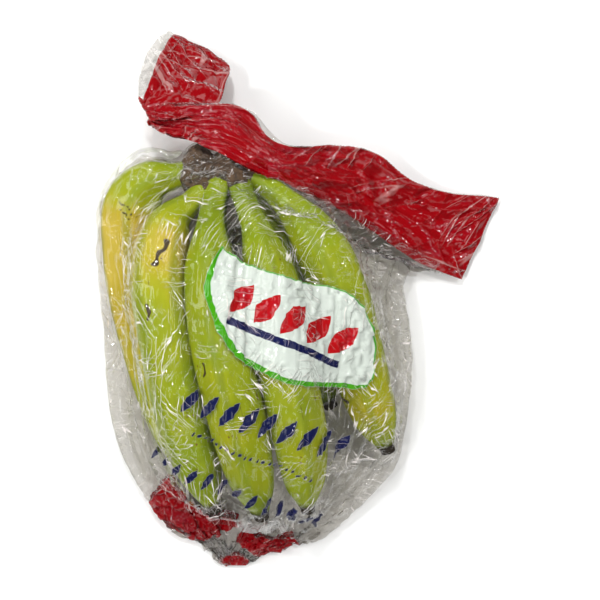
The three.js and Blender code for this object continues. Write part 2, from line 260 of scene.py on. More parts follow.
def uv_map(made, at):
    """A UV map from a place in metres on each vertex."""
    corners = np.empty(len(made.data.loops), dtype=np.int32)
    made.data.loops.foreach_get("vertex_index", corners)
    made.data.uv_layers.new(name="UVMap").data.foreach_set("uv", at[corners].ravel())


# ---- Materials ----


def linear(hex_colour):
    """An sRGB hex colour as linear RGBA."""
    srgb = [int(hex_colour[i : i + 2], 16) / 255 for i in (1, 3, 5)]
    return (*[c / 12.92 if c <= 0.04045 else ((c + 0.055) / 1.055) ** 2.4 for c in srgb], 1.0)


def node(tree, kind, inputs=None, **settings):
    """Adds a node with its settings, and sets or links its inputs."""
    made = tree.nodes.new(kind)
    for key, value in settings.items():
        setattr(made, key, value)
    for socket, value in (inputs or {}).items():
        if isinstance(value, bpy.types.NodeSocket):
            tree.links.new(value, made.inputs[socket])
        else:
            made.inputs[socket].default_value = value
    return made


def ramp(tree, factor, stops):
    """A colour ramp through (place, hex colour) stops."""
    made = node(tree, "ShaderNodeValToRGB", {"Fac": factor})
    for index, (place_at, colour) in enumerate(stops):
        stop = made.color_ramp.elements[index] if index < 2 else made.color_ramp.elements.new(place_at)
        stop.position = place_at
        stop.color = linear(colour)
    return made.outputs["Color"]


def new_material(name):
    made = bpy.data.materials.new(name)
    made.use_nodes = True
    made.node_tree.nodes.clear()
    return made, made.node_tree


def peel_material():
    """Banana peel: waxy skin, green at its ends and ridges, yellow where it has ripened, with brown flecks."""
    made, tree = new_material("banana_peel_waxy")
    ripe = node(tree, "ShaderNodeAttribute", attribute_name="ripe").outputs["Fac"]
    ridge = node(tree, "ShaderNodeAttribute", attribute_name="ridge").outputs["Fac"]
    along = node(tree, "ShaderNodeAttribute", attribute_name="along").outputs["Fac"]
    place_at = node(tree, "ShaderNodeTexCoord").outputs["Object"]
    uv = node(tree, "ShaderNodeTexCoord").outputs["UV"]
    # Patches of 20 mm where the peel is further on
    patches = node(tree, "ShaderNodeTexNoise", {"Vector": place_at, "Scale": 50.0, "Detail": 4.0})
    spread = node(tree, "ShaderNodeMath", {0: patches.outputs["Fac"], 1: 0.5}, operation="SUBTRACT")
    ripeness = node(tree, "ShaderNodeMath", {0: spread.outputs[0], 1: 0.32, 2: ripe}, operation="MULTIPLY_ADD")
    skin = ramp(
        tree,
        ripeness.outputs[0],
        [(0.0, "#4E6A02"), (1.0, "#CDB548"), (0.3, "#879804"), (0.55, "#9FA30A"), (0.78, "#B9A428")],
    )
    # Fibres run along a finger, about 1 mm apart
    long_fibres = node(tree, "ShaderNodeMapping", {"Vector": uv, "Scale": (1.0, 0.08, 1.0)})
    fibres = node(
        tree, "ShaderNodeTexNoise", {"Vector": long_fibres.outputs[0], "Scale": 900.0, "Detail": 3.0}
    )
    streak = node(
        tree,
        "ShaderNodeMapRange",
        {"Value": fibres.outputs["Fac"], "From Min": 0.35, "From Max": 0.7, "To Min": 1.0, "To Max": 0.94},
    )
    fibrous = node(
        tree,
        "ShaderNodeMix",
        {"Factor": 1.0, "A": skin, "B": streak.outputs[0]},
        data_type="RGBA",
        blend_type="MULTIPLY",
    )
    ridge_dark = node(
        tree,
        "ShaderNodeMapRange",
        {"Value": ridge, "From Min": 0.45, "From Max": 1.0, "To Min": 0.0, "To Max": 0.5},
    )
    ridged = node(
        tree,
        "ShaderNodeMix",
        {"Factor": ridge_dark.outputs[0], "A": fibrous.outputs["Result"], "B": linear("#6C7D16")},
        data_type="RGBA",
    )
    # Flecks of 1 to 2 mm, only where a coarser noise is high
    cells = node(tree, "ShaderNodeTexVoronoi", {"Vector": place_at, "Scale": 260.0})
    fleck = node(
        tree,
        "ShaderNodeMapRange",
        {"Value": cells.outputs["Distance"], "From Min": 0.12, "From Max": 0.26, "To Min": 1.0, "To Max": 0.0},
    )
    where = node(tree, "ShaderNodeTexNoise", {"Vector": place_at, "Scale": 60.0, "Detail": 2.0})
    gate = node(
        tree, "ShaderNodeMapRange", {"Value": where.outputs["Fac"], "From Min": 0.6, "From Max": 0.68}
    )
    flecks = node(tree, "ShaderNodeMath", {0: fleck.outputs[0], 1: gate.outputs[0]}, operation="MULTIPLY")
    flecked = node(
        tree,
        "ShaderNodeMix",
        {"Factor": flecks.outputs[0], "A": ridged.outputs["Result"], "B": linear("#6A4A1C")},
        data_type="RGBA",
    )
    # Rub marks: thin brown lines along the finger, 15 to 30 mm long
    long_marks = node(tree, "ShaderNodeMapping", {"Vector": uv, "Scale": (1.0, 0.12, 1.0)})
    marks = node(tree, "ShaderNodeTexNoise", {"Vector": long_marks.outputs[0], "Scale": 330.0, "Detail": 2.0})
    mark = node(
        tree, "ShaderNodeMapRange", {"Value": marks.outputs["Fac"], "From Min": 0.74, "From Max": 0.77}
    )
    marked = node(
        tree,
        "ShaderNodeMix",
        {"Factor": mark.outputs[0], "A": flecked.outputs["Result"], "B": linear("#5A4522")},
        data_type="RGBA",
    )
    scar = node(tree, "ShaderNodeAttribute", attribute_name="scar").outputs["Fac"]
    rough_edge = node(tree, "ShaderNodeMath", {0: spread.outputs[0], 1: 1.2, 2: scar}, operation="MULTIPLY_ADD")
    scarred = node(
        tree, "ShaderNodeMapRange", {"Value": rough_edge.outputs[0], "From Min": 0.45, "From Max": 0.6}
    )
    bruised = node(
        tree,
        "ShaderNodeMix",
        {"Factor": scarred.outputs[0], "A": marked.outputs["Result"], "B": linear("#3E3016")},
        data_type="RGBA",
    )
    # The dry blossom end
    dark_end = node(tree, "ShaderNodeMapRange", {"Value": along, "From Min": 0.955, "From Max": 0.978})
    ended = node(
        tree,
        "ShaderNodeMix",
        {"Factor": dark_end.outputs[0], "A": bruised.outputs["Result"], "B": linear("#2B2318")},
        data_type="RGBA",
    )
    pores = node(tree, "ShaderNodeTexNoise", {"Vector": place_at, "Scale": 700.0, "Detail": 3.0})
    height = node(
        tree, "ShaderNodeMath", {0: fibres.outputs["Fac"], 1: 0.6, 2: pores.outputs["Fac"]}, operation="MULTIPLY_ADD"
    )
    bump = node(
        tree, "ShaderNodeBump", {"Height": height.outputs[0], "Strength": 0.15, "Distance": 0.0004}
    )
    rough = node(
        tree,
        "ShaderNodeMapRange",
        {"Value": dark_end.outputs[0], "To Min": 0.45, "To Max": 0.85},
    )
    shader = node(
        tree,
        "ShaderNodeBsdfPrincipled",
        {
            "Base Color": ended.outputs["Result"],
            "Roughness": rough.outputs[0],
            "IOR": 1.4,
            "Specular IOR Level": 0.25,
            "Normal": bump.outputs[0],
        },
    )
    node(tree, "ShaderNodeOutputMaterial", {"Surface": shader.outputs[0]})
    return made


def crown_material():
    """Dried banana crown: corky brown-grey bark with dark cracks, greener low down where the stalks leave it."""
    made, tree = new_material("banana_crown_dried")
    place_at = node(tree, "ShaderNodeTexCoord").outputs["Object"]
    mottle = node(tree, "ShaderNodeTexNoise", {"Vector": place_at, "Scale": 160.0, "Detail": 6.0, "Roughness": 0.65})
    bark = ramp(
        tree,
        mottle.outputs["Fac"],
        [(0.25, "#20170D"), (0.75, "#6B5238"), (0.45, "#412F1C"), (0.58, "#553F29")],
    )
    grain = node(tree, "ShaderNodeMapping", {"Vector": place_at, "Scale": (1.0, 0.25, 1.0)})
    cracks = node(tree, "ShaderNodeTexNoise", {"Vector": grain.outputs[0], "Scale": 420.0, "Detail": 5.0})
    crack = node(
        tree, "ShaderNodeMapRange", {"Value": cracks.outputs["Fac"], "From Min": 0.36, "From Max": 0.46}
    )
    cracked = node(
        tree,
        "ShaderNodeMix",
        {"Factor": crack.outputs[0], "A": linear("#2C2218"), "B": bark},
        data_type="RGBA",
    )
    green = node(tree, "ShaderNodeAttribute", attribute_name="green").outputs["Fac"]
    greened = node(
        tree,
        "ShaderNodeMix",
        {"Factor": green, "A": cracked.outputs["Result"], "B": linear("#7C8422")},
        data_type="RGBA",
    )
    bump = node(
        tree, "ShaderNodeBump", {"Height": cracks.outputs["Fac"], "Strength": 0.5, "Distance": 0.0008}
    )
    shader = node(
        tree,
        "ShaderNodeBsdfPrincipled",
        {"Base Color": greened.outputs["Result"], "Roughness": 0.8, "Normal": bump.outputs[0]},
    )
    node(tree, "ShaderNodeOutputMaterial", {"Surface": shader.outputs[0]})
    return made


# Creases of the film: (direction in degrees, pitch in m, length over width, seed)
CREASES = ((3.0, 0.0055, 18.0, 0.3), (30.0, 0.005, 16.0, 1.7), (-38.0, 0.005, 18.0, 2.9), (80.0, 0.0055, 12.0, 4.1))
HAZE = 0.004  # how much of the film is milky

# Rows of navy leaves below the label, in mm:
# (middle, slope, half the row's length, pitch, half a leaf's length and width, lean)
MARK_ROWS = (
    ((36.0, -176.0), -18.6, 60.0, 13.4, 10.5, 3.1, 68.0),
    ((25.0, -197.5), -20.7, 44.0, 4.2, 1.7, 0.9, 60.0),
    ((14.0, -224.0), -22.6, 70.0, 10.8, 6.4, 2.2, 72.0),
)


def stretched_lines(tree, uv, degrees, pitch, stretch, seed):
    """Fine lines: where a noise, drawn out along a direction, is at its middle value. 1 on a line, 0 off it."""
    turned_uv = node(
        tree,
        "ShaderNodeMapping",
        {"Vector": uv, "Location": (seed, seed * 0.7, 0.0), "Rotation": (0.0, 0.0, math.radians(degrees))},
    )
    drawn = node(tree, "ShaderNodeMapping", {"Vector": turned_uv.outputs[0], "Scale": (1.0, 1 / stretch, 1.0)})
    noise = node(
        tree,
        "ShaderNodeTexNoise",
        {"Vector": drawn.outputs[0], "Scale": 1 / pitch, "Detail": 0.6, "Distortion": 0.15},
        noise_dimensions="2D",
    )
    off = node(tree, "ShaderNodeMath", {0: noise.outputs["Fac"], 1: 0.5}, operation="SUBTRACT")
    size = node(tree, "ShaderNodeMath", {0: off.outputs[0]}, operation="ABSOLUTE")
    return size.outputs[0]


def maths(tree, operation, *values):
    """One step of arithmetic between sockets and numbers."""
    return node(tree, "ShaderNodeMath", dict(enumerate(values)), operation=operation).outputs[0]


def local_place(tree, at, middle, degrees):
    """A place in a mark's own axes: how far along it and across it, in metres."""
    turned_at = node(
        tree,
        "ShaderNodeMapping",
        {"Vector": at, "Location": (*[c * MM for c in middle], 0.0), "Rotation": (0.0, 0.0, math.radians(degrees))},
        vector_type="TEXTURE",
    )
    split = node(tree, "ShaderNodeSeparateXYZ", {0: turned_at.outputs[0]})
    return split.outputs[0], split.outputs[1]


def leaf_row(tree, at, middle, slope, half_row, pitch, half_length, half_width, lean):
    """A mask of a row of leaves, in mm: a leaf's half width falls from its middle to its points as a parabola."""
    along, across = local_place(tree, at, middle, slope)
    phase = maths(tree, "WRAP", along, pitch / 2 * MM, -pitch / 2 * MM)
    in_cell = node(tree, "ShaderNodeCombineXYZ", {0: phase, 1: across})
    length_at, width_at = local_place(tree, in_cell.outputs[0], (0.0, 0.0), lean)
    share = maths(tree, "DIVIDE", length_at, half_length * MM)
    half = maths(tree, "MULTIPLY_ADD", maths(tree, "MULTIPLY", share, share), -half_width * MM, half_width * MM)
    depth = maths(tree, "SUBTRACT", half, maths(tree, "ABSOLUTE", width_at))
    room = maths(tree, "SUBTRACT", half_row * MM, maths(tree, "ABSOLUTE", along))
    return maths(tree, "MULTIPLY", edge_mask(tree, depth), edge_mask(tree, room))


def bar(tree, at, middle, slope, half_length, half_height):
    """A mask of a straight bar, in mm."""
    along, across = local_place(tree, at, middle, slope)
    room = maths(tree, "SUBTRACT", half_length * MM, maths(tree, "ABSOLUTE", along))
    height = maths(tree, "SUBTRACT", half_height * MM, maths(tree, "ABSOLUTE", across))
    return maths(tree, "MULTIPLY", edge_mask(tree, room), edge_mask(tree, height))


def edge_mask(tree, depth):
    """0 to 1 over the quarter millimetre at a print's edge."""
    return node(tree, "ShaderNodeMapRange", {"Value": depth, "From Min": -0.00012, "From Max": 0.00012}).outputs[0]


def film_material(name, tint_over, tint_under, crease_size, glint_paint):
    """Clear polyethylene film, crumpled, with flexographic print: sharp glints on a nearly clear sheet.

    The attributes panel, rim and band are each how far inside that print a point lies, in mm, and flat is the
    place in plan, in metres, where the navy and red marks are drawn.
    Its creases carry painted glints: pale lines laid into the colour and opacity along them, so they show from every
    side, beside the real gloss.
    """
    made, tree = new_material(name)
    uv = node(tree, "ShaderNodeTexCoord").outputs["UV"]
    masks = {}
    for print_name in ("panel", "rim", "band"):
        inside = node(tree, "ShaderNodeAttribute", attribute_name=print_name).outputs["Fac"]
        masks[print_name] = node(
            tree, "ShaderNodeMapRange", {"Value": inside, "From Min": -0.2, "From Max": 0.2}
        ).outputs[0]
    at = node(tree, "ShaderNodeAttribute", attribute_name="flat").outputs["Vector"]
    masks["motif"] = leaf_row(tree, at, (53.0, -106.0), -22.0, 46.0, 18.4, 12.5, 6.2, 66.0)
    masks["ink"] = bar(tree, at, (47.0, -121.0), -22.0, 41.0, 2.4)
    for row in MARK_ROWS:
        masks["ink"] = maths(tree, "MAXIMUM", masks["ink"], leaf_row(tree, at, *row))
    colour = linear("#F4F4F2")
    for print_name, ink in (
        ("rim", "#3F9410"), ("panel", "#C6CEC5"), ("ink", "#0E1446"), ("motif", "#A80A12"), ("band", "#8C0008"),
    ):
        colour = node(
            tree,
            "ShaderNodeMix",
            {"Factor": masks[print_name], "A": colour, "B": linear(ink)},
            data_type="RGBA",
        ).outputs["Result"]
    printed = masks["rim"]
    for print_name in ("ink", "motif", "band"):
        printed = node(
            tree, "ShaderNodeMath", {0: printed, 1: masks[print_name]}, operation="MAXIMUM"
        ).outputs[0]
    # Creases in bunches: each bunch about 40 mm across, with its own direction, its creases 3 to 5 mm apart
    relief = 0.0
    painted_glint = 0.0
    for degrees, pitch, stretch, seed in CREASES:
        where = node(tree, "ShaderNodeMapping", {"Vector": uv, "Location": (seed, -seed, 0.0)})
        bunches = node(
            tree,
            "ShaderNodeTexNoise",
            {"Vector": where.outputs[0], "Scale": 30.0 / crease_size, "Detail": 2.0},
            noise_dimensions="2D",
        )
        bunch = node(
            tree, "ShaderNodeMapRange", {"Value": bunches.outputs["Fac"], "From Min": 0.55, "From Max": 0.63}
        ).outputs[0]
        off = stretched_lines(tree, uv, degrees, pitch * crease_size, stretch, seed)
        fold = node(
            tree, "ShaderNodeMapRange", {"Value": off, "From Min": 0.0, "From Max": 0.12, "To Min": 1.0, "To Max": 0.0}
        ).outputs[0]
        relief = node(tree, "ShaderNodeMath", {0: fold, 1: bunch, 2: relief}, operation="MULTIPLY_ADD").outputs[0]
        # A painted glint: the core of each crease is drawn as a pale line, where the film would catch the lamps
        core = node(
            tree, "ShaderNodeMapRange", {"Value": off, "From Min": 0.003, "From Max": 0.014, "To Min": 1.0, "To Max": 0.0}
        ).outputs[0]
        line = node(tree, "ShaderNodeMath", {0: core, 1: bunch}, operation="MULTIPLY").outputs[0]
        painted_glint = node(tree, "ShaderNodeMath", {0: line, 1: painted_glint}, operation="MAXIMUM").outputs[0]
    bump = node(tree, "ShaderNodeBump", {"Height": relief, "Strength": 0.6, "Distance": 0.0012 * crease_size})
    # The lower layer is tinted greyer than the upper: painted shade that greys what is seen through both layers of the
    # bag, as the shadow under it would
    under = node(tree, "ShaderNodeAttribute", attribute_name="under").outputs["Fac"]
    tint = node(
        tree,
        "ShaderNodeMix",
        {"Factor": under, "A": linear(tint_over), "B": linear(tint_under)},
        data_type="RGBA",
    )
    clear = node(tree, "ShaderNodeBsdfTransparent", {"Color": tint.outputs["Result"]})
    # Opacity of the pale layer: the painted glints along the creases, plus an even milky haze
    glints_and_haze = maths(tree, "MULTIPLY_ADD", painted_glint, glint_paint, HAZE)
    opacity = maths(tree, "MAXIMUM", glints_and_haze, maths(tree, "MULTIPLY", printed, 0.95))
    # Painted glints: the print's colour goes towards a pale pink along the creases
    print_with_painted_glints = node(
        tree,
        "ShaderNodeMix",
        {"Factor": maths(tree, "MULTIPLY", painted_glint, glint_paint * 0.7), "A": colour, "B": linear("#FFEFE8")},
        data_type="RGBA",
    )
    print_shader = node(
        tree,
        "ShaderNodeBsdfPrincipled",
        {"Base Color": print_with_painted_glints.outputs["Result"], "Roughness": 0.5, "Specular IOR Level": 0.0, "Normal": bump.outputs[0]},
    )
    sheet = node(tree, "ShaderNodeMixShader", {"Fac": opacity, 1: clear.outputs[0], 2: print_shader.outputs[0]})
    gloss = node(
        tree,
        "ShaderNodeBsdfGlossy",
        {"Color": (1.0, 1.0, 1.0, 1.0), "Roughness": 0.07, "Normal": bump.outputs[0]},
    )
    mirror = node(tree, "ShaderNodeFresnel", {"IOR": 1.38, "Normal": bump.outputs[0]})
    shine = maths(tree, "MINIMUM", mirror.outputs[0], 0.25)
    shader = node(
        tree,
        "ShaderNodeMixShader",
        {"Fac": shine, 1: sheet.outputs[0], 2: gloss.outputs[0]},
    )
    node(tree, "ShaderNodeOutputMaterial", {"Surface": shader.outputs[0]})
    return made


PEEL = peel_material()
BARK = crown_material()
# The last number is how strong the painted glints along the creases are
FILM = film_material("polyethylene_film_printed", "#FDFDFD", "#D9D6D1", 1.0, 0.8)
BAND = film_material("polyethylene_film_red_band", "#F6F6F6", "#E2E0DC", 2.4, 0.3)


# ---- Bananas ----


def finger_radius(share, neck):
    """The profile's radius, with the stalk and neck drawn in to a share of their usual length."""
    share = np.where(share < 0.5, np.minimum(share / neck, 0.5), share)
    return np.interp(share, *np.array(FINGER_PROFILE).T)


def finger_rings(path, neck, turn, seed, rings=230, sides=84):
    """A finger: five-ridged sections carried along its path, with a blunt dry end.

    A section's radius is the profile's, times one plus a share of the cosine of five times the angle, plus
    slow unevenness. Past the tip three small rings close it. Returns the grid, the ridge height and the share.
    """
    centre = spline(place(path), rings)
    share = np.linspace(0, 1, rings)
    radius = blur(finger_radius(share, neck), rings // 14)
    radius[share > 0.975] = np.interp(share[share > 0.975], [0.975, 0.985, 1], [radius[share <= 0.975][-1], 5.2, 5.0])
    tangent = unit(np.gradient(centre, axis=0))
    reach = centre[-1] + tangent[-1] * np.array([[0.7], [1.1], [1.0]])
    centre = np.vstack([centre, reach])
    tangent = np.vstack([tangent, np.repeat(tangent[-1:], 3, axis=0)])
    radius = np.append(radius, [4.3, 2.6, 0.6])
    share = np.append(share, [1.0, 1.0, 1.0])
    beside = unit(np.cross(tangent, [0.0, 0.0, 1.0]))
    above = np.cross(beside, tangent)
    angle = np.linspace(0, 2 * np.pi, sides, endpoint=False)
    ridge = np.cos(5 * (angle - turn))
    strength = np.interp(share, [0, 0.12, 0.3, 0.75, 0.93, 1], [0.03, 0.06, 0.045, 0.045, 0.07, 0.02])
    section = 1 + strength[:, None] * (ridge + 0.3 * np.cos(2 * angle + seed)[None, :])
    around = np.cos(angle)[None, :, None] * beside[:, None] + np.sin(angle)[None, :, None] * above[:, None]
    grid = centre[:, None] + around * (radius[:, None] * section)[..., None]
    uneven = 0.3 * ripple(grid, 36, seed) + 0.08 * ripple(grid, 9, seed + 50)
    grid = grid + around * (uneven * np.minimum(radius / 12, 1)[:, None])[..., None]
    return grid, np.broadcast_to(ridge, grid.shape[:2]), np.broadcast_to(share[:, None], grid.shape[:2])


def finger_piece(name, path, turn, seed, ripe_at, scars):
    """One banana, with how ripe, how near a ridge, how far along and how scarred each point is."""
    grid, ridge, share = finger_rings(path, NECKS.get(name, 1.0), turn, seed)
    rows, columns = grid.shape[:2]
    faces = grid_faces(rows, columns, True)[:, ::-1].tolist()
    faces.append(list(range(columns)))
    faces.append(list(range(rows * columns - 1, (rows - 1) * columns - 1, -1)))
    points = grid.reshape(-1, 3)
    made = mesh_object(name + "_peel", points, faces, PEEL)
    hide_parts(name)
    share = share.ravel()
    ripe = np.interp(share, *np.array(ripe_at).T) + 0.05 * ripple(points, 45, seed + 9)
    attribute(made, "ripe", ripe)
    attribute(made, "ridge", ridge.ravel())
    attribute(made, "along", share)
    near = np.zeros(len(points))
    strayed = points[:, :2] + 0.9 * np.stack([ripple(points, 7, seed + 20), ripple(points, 7, seed + 21)], axis=1)
    for start, end, half_width in scars:
        side = np.subtract(end, start)
        part = np.clip((strayed - start) @ side / (side @ side), 0, 1)
        off = np.linalg.norm(strayed - start - part[:, None] * side, axis=1)
        near = np.maximum(near, 1 - off / half_width)
    attribute(made, "scar", np.clip(near, 0, 1))
    length = np.linalg.norm(np.diff(place(path), axis=0), axis=1).sum()
    around = np.tile(np.arange(columns) / columns * math.pi * FINGER_WIDTH, rows)
    uv_map(made, np.stack([around, share * length], axis=1) * MM)
    return grid


# turn of the ridges, and how ripe it is as [share of the length, 0 green to 1 yellow]
FINGER_LOOKS = {
    "banana_1": (0.3, [[0, 0.3], [0.16, 0.42], [0.26, 0.85], [0.5, 0.8], [0.7, 0.55], [1, 0.3]]),
    "banana_2": (0.9, [[0, 0.26], [0.12, 0.4], [0.2, 0.78], [0.33, 0.62], [0.46, 0.36], [1, 0.3]]),
    "banana_3": (0.1, [[0, 0.2], [0.3, 0.36], [0.6, 0.42], [0.8, 0.45], [1, 0.2]]),
    "banana_4": (0.6, [[0, 0.2], [0.3, 0.34], [0.6, 0.4], [0.85, 0.5], [1, 0.25]]),
    "banana_5": (0.2, [[0, 0.2], [0.3, 0.38], [0.6, 0.42], [0.85, 0.62], [1, 0.25]]),
    "banana_6": (0.5, [[0, 0.2], [0.5, 0.3], [1, 0.2]]),
    "banana_7": (0.8, [[0, 0.2], [0.5, 0.35], [1, 0.25]]),
}
# (start and end in mm from the crown, how far it fades to each side) of a scar
SCARS = {
    "banana_1": [((-65.0, -25.0), (-54.0, -36.0), 1.0), ((-66.0, -29.0), (-57.0, -38.0), 0.9)],
    "banana_2": [((-31.0, -54.0), (-39.0, -69.0), 3.4), ((-43.0, -96.0), (-42.0, -106.0), 2.4)],
    "banana_3": [((-7.0, -134.0), (-5.0, -142.0), 1.8)],
    "banana_5": [((87.0, -160.0), (91.0, -163.0), 3.0)],
}

finger_grids = {}
for index, (finger_name, finger_path) in enumerate(FINGERS.items()):
    ridge_turn, ripe_table = FINGER_LOOKS[finger_name]
    finger_grids[finger_name] = finger_piece(
        finger_name, finger_path, ridge_turn, 10 + index, ripe_table, SCARS.get(finger_name, [])
    )


# ---- Crown ----

# (middle, half sizes) of the lobes that stand up round the block, in mm from the crown
CROWN_LOBES = [
    ((-12.0, -5.0, 47.0), (13.0, 20.0, 16.5)),
    ((9.0, 2.0, 49.0), (11.0, 10.0, 13.0)),
    ((4.7, -3.0, 44.0), (19.0, 13.0, 17.0)),
]


def crown_piece():
    """The crown: balls at the stalks' roots and lobes over them, fused by remeshing, then roughened."""
    balls = [(place(path[0]), (STEM_WIDTH * 0.64,) * 3) for path in FINGERS.values()] + CROWN_LOBES
    lines = 24
    polar = np.linspace(0.001, np.pi - 0.001, lines)
    turn = np.linspace(0, 2 * np.pi, 2 * lines, endpoint=False)
    ball = np.stack(
        [
            np.sin(polar)[:, None] * np.cos(turn),
            np.sin(polar)[:, None] * np.sin(turn),
            np.broadcast_to(np.cos(polar)[:, None], (lines, 2 * lines)),
        ],
        axis=-1,
    ).reshape(-1, 3)
    caps = [list(range(2 * lines))[::-1], list(range((lines - 1) * 2 * lines, lines * 2 * lines))]
    ball_faces = grid_faces(lines, 2 * lines, True)[:, ::-1].tolist() + [cap[::-1] for cap in caps]
    points = np.concatenate([np.asarray(middle) + ball * half for middle, half in balls])
    faces = [[corner + len(ball) * k for corner in face] for k in range(len(balls)) for face in ball_faces]
    made = mesh_object("crown_bark", points, faces, BARK)
    fuse = made.modifiers.new("fuse", "REMESH")
    fuse.mode = "VOXEL"
    fuse.voxel_size = 0.9 * MM
    soften = made.modifiers.new("soften", "SMOOTH")
    soften.iterations = 6
    soften.factor = 0.6
    evaluated = made.evaluated_get(bpy.context.evaluated_depsgraph_get())
    fused = bpy.data.meshes.new_from_object(evaluated)
    made.modifiers.clear()
    made.data = fused
    count = len(fused.vertices)
    points = np.empty(count * 3)
    normals = np.empty(count * 3)
    fused.vertices.foreach_get("co", points)
    fused.vertices.foreach_get("normal", normals)
    points, normals = points.reshape(-1, 3), normals.reshape(-1, 3)
    local = points / MM - SHIFT
    rough = 0.6 * ripple(local, 11, 71) + 0.25 * ripple(local, 3.5, 72) - 1.0 * crease(local, 13, 73)
    points = points + normals * rough[:, None] * MM
    fused.vertices.foreach_set("co", points.ravel())
    fused.polygons.foreach_set("use_smooth", np.ones(len(fused.polygons), dtype=bool))
    fused.update()
    reach = -local[:, 1] - 17 + 2 * ripple(local, 7, 74)
    attribute(made, "green", np.clip(reach / 9, 0, 0.85))
    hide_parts("crown")
    return made


crown_bark = crown_piece()


# ---- Film ----

GRID_STEP = 3.0


class FruitField:
    """How far a point is from the fruit, in mm, and the direction away from it, looked up on a grid.

    The fruit is the union of balls along each finger's path and of the crown's lobes.
    """

    def __init__(self):
        self.low = np.array([-96.0, -300.0, -9.0])
        self.size = np.array([84, 126, 46])
        axes = [self.low[k] + GRID_STEP * np.arange(self.size[k]) for k in range(3)]
        at = np.stack(np.meshgrid(*axes, indexing="ij"), axis=-1).astype(np.float32)
        distance = np.full(at.shape[:3], 1e3, dtype=np.float32)
        for name, path in FINGERS.items():
            centre = spline(place(path), 70)
            radius = finger_radius(np.linspace(0, 1, 70), NECKS.get(name, 1.0)) * 1.04
            for middle, r in zip(centre.astype(np.float32), radius):
                distance = np.minimum(distance, np.linalg.norm(at - middle, axis=-1) - np.float32(r))
        for middle, half in CROWN_LOBES:
            apart = np.linalg.norm((at - np.float32(middle)) / np.float32(half), axis=-1)
            distance = np.minimum(distance, (apart - 1) * min(half))
        slope = unit(np.stack(np.gradient(distance, GRID_STEP), axis=-1))
        self.table = np.concatenate([distance[..., None], slope], axis=-1).reshape(-1, 4).astype(np.float32)

    def look(self, points):
        """The distance and the direction away from the fruit at each point, between grid points in proportion."""
        at = np.clip((points - self.low) / GRID_STEP, 0, self.size - 1.001)
        cell = at.astype(int)
        part = (at - cell).astype(np.float32)
        strides = np.array([self.size[1] * self.size[2], self.size[2], 1])
        first = cell @ strides
        found = 0
        for corner in np.ndindex(2, 2, 2):
            weight = np.prod(np.where(np.array(corner) == 1, part, 1 - part), axis=-1)
            found = found + self.table[first + np.array(corner) @ strides] * weight[..., None]
        return found[..., 0], found[..., 1:]


def taut(q, z):
    """The upper side of the convex hull of points whose q rises: the line that a taut film takes over them."""
    line = []
    for point in zip(q, z):
        while len(line) > 1:
            (q0, z0), (q1, z1) = line[-2:]
            if (q1 - q0) * (point[1] - z0) - (z1 - z0) * (point[0] - q0) < 0:
                break
            line.pop()
        line.append(point)
    return np.array(line)


def taut_ring(left, right, bow, table, fruit, half_columns):
    """One ring of taut film round the fruit near a vertical plane: its upper line, then its lower one back."""
    across = right[:2] - left[:2]
    width = np.linalg.norm(across)
    across = across / width
    forward = np.array([-across[1], across[0]])
    apart = (fruit[:, :2] - left[:2]) @ forward
    near = fruit[np.abs(apart) < 4.0]
    q = (near[:, :2] - left[:2]) @ across
    bins = np.round(q / 2.5).astype(int)
    top = {}
    for key, height in zip(bins, near[:, 2]):
        top[key] = max(top.get(key, 0.0), height + 1.2)
    top = {key: height for key, height in top.items() if 0 < key * 2.5 < width}
    keys = sorted(top)
    q_line = [0.0, *[key * 2.5 for key in keys], width]
    z_line = [left[2], *[top[key] for key in keys], right[2]]
    over = taut(q_line, z_line)
    low = TABLE_LIFT * table + min(left[2], right[2]) * 0.6 * (1 - table)
    under = -taut([0.0, 0.2 * width, 0.8 * width, width], [-left[2], -low, -low, -right[2]])
    under[:, 0] *= -1
    ring = np.vstack([evenly(over, half_columns + 1)[:-1], evenly(under[::-1], half_columns + 1)[:-1]])
    share = ring[:, 0] / width
    plan = left[:2] + ring[:, :1] * across + (4 * share * (1 - share) * bow * FINGER_LENGTH)[:, None] * forward
    return np.column_stack([plan, ring[:, 1]])


def taut_bag(rows, columns, fruit, mouth):
    """The bag drawn taut round the fruit, as rows of rings from its foot to its mouth, which is flat."""
    edges = [[*place(left), *place(right), bow] for left, right, bow in FILM_STATIONS]
    edges = np.array([*edges, [*mouth[0], *mouth[-1], 0.0]])
    fine = through(edges, np.linspace(0, len(edges) - 1, 800))
    step = np.linalg.norm(np.diff((fine[:, :3] + fine[:, 3:6]) / 2, axis=0), axis=1) + 0.1
    run = np.append(0, np.cumsum(step))
    at = np.interp(np.linspace(0, run[-1], rows), run, np.linspace(0, len(edges) - 1, 800))
    lines = through(edges, at)
    table = np.clip(TABLE_STATIONS + 1 - at, 0, 1)
    rings = [taut_ring(line[:3], line[3:6], line[6], on, fruit, columns // 2) for line, on in zip(lines, table)]
    flat = evenly(mouth, columns // 2 + 1)
    rings[-1] = np.vstack([flat[:-1] + [0, 0, 0.2], flat[:0:-1] - [0, 0, 0.2]])
    return np.stack(rings)


LINKS = [(0, 1), (1, 0), (1, 1), (1, -1), (0, 2), (2, 0)]  # (rows, columns) from a point to the one it is tied to


def link(points, rows, columns):
    """From each point to the one that many rows and columns on, on a grid closed round its columns."""
    last = len(points) - rows
    return np.roll(points, -columns, axis=1)[rows:] - points[:last]


